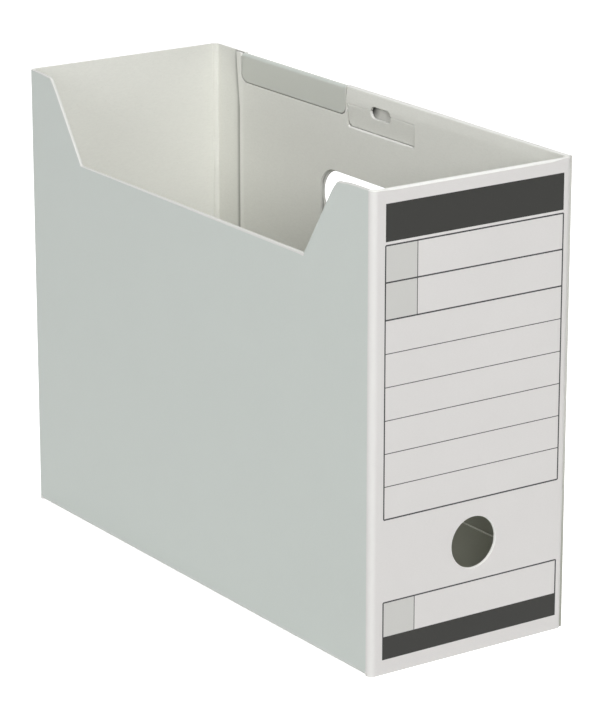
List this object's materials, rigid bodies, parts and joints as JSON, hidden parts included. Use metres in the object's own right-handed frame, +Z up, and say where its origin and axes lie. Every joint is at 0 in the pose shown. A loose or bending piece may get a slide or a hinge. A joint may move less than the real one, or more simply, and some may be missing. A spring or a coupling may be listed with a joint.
{
  "type": "file box",
  "caption": "Tall open-topped file box folded from thick card, with a notched side, a hand hole in the double-layer side opposite, and a finger hole under a blank form on its front",
  "frame": {"origin": "the middle of the base, on the surface that the box stands on", "axes": "+Z up, the front label panel faces -Y, the notched side faces -X and the double-layer side with the hand hole faces +X"},
  "size_m": [0.102, 0.269, 0.2065],
  "materials": {
    "card_shell": "matte coated face of thick grey card",
    "card_label": "matte coated face of thick pale grey card",
    "card_lining": "uncoated inner face of thick grey card",
    "card_flap": "matte coated face of thick grey card, turned inward"
  },
  "bodies": {
    "box": {"near_side_panel": "card_shell", "front_panel": "card_label", "back_panel": "card_shell", "far_outer_panel": "card_shell", "far_inner_panel": "card_lining", "base_panel": "card_shell", "front_base_flap": "card_lining", "back_base_flap": "card_lining", "far_base_flap": "card_lining"},
    "turnover_tab": {"turnover_tab": "card_flap"},
    "lock_flap": {"lock_flap": "card_lining"}
  },
  "joints": [
    {"name": "turnover_hinge", "type": "hinge", "parent": "box", "child": "turnover_tab", "pos_m": [0.04935, 0.0664, 0.20485], "axis": [0, 1, 0], "range_deg": [0, 180]},
    {"name": "lock_hinge", "type": "hinge", "parent": "box", "child": "lock_flap", "pos_m": [0.04835, -0.00205, 0.1982], "axis": [0, 1, 0], "range_deg": [0, 75]}
  ]
}
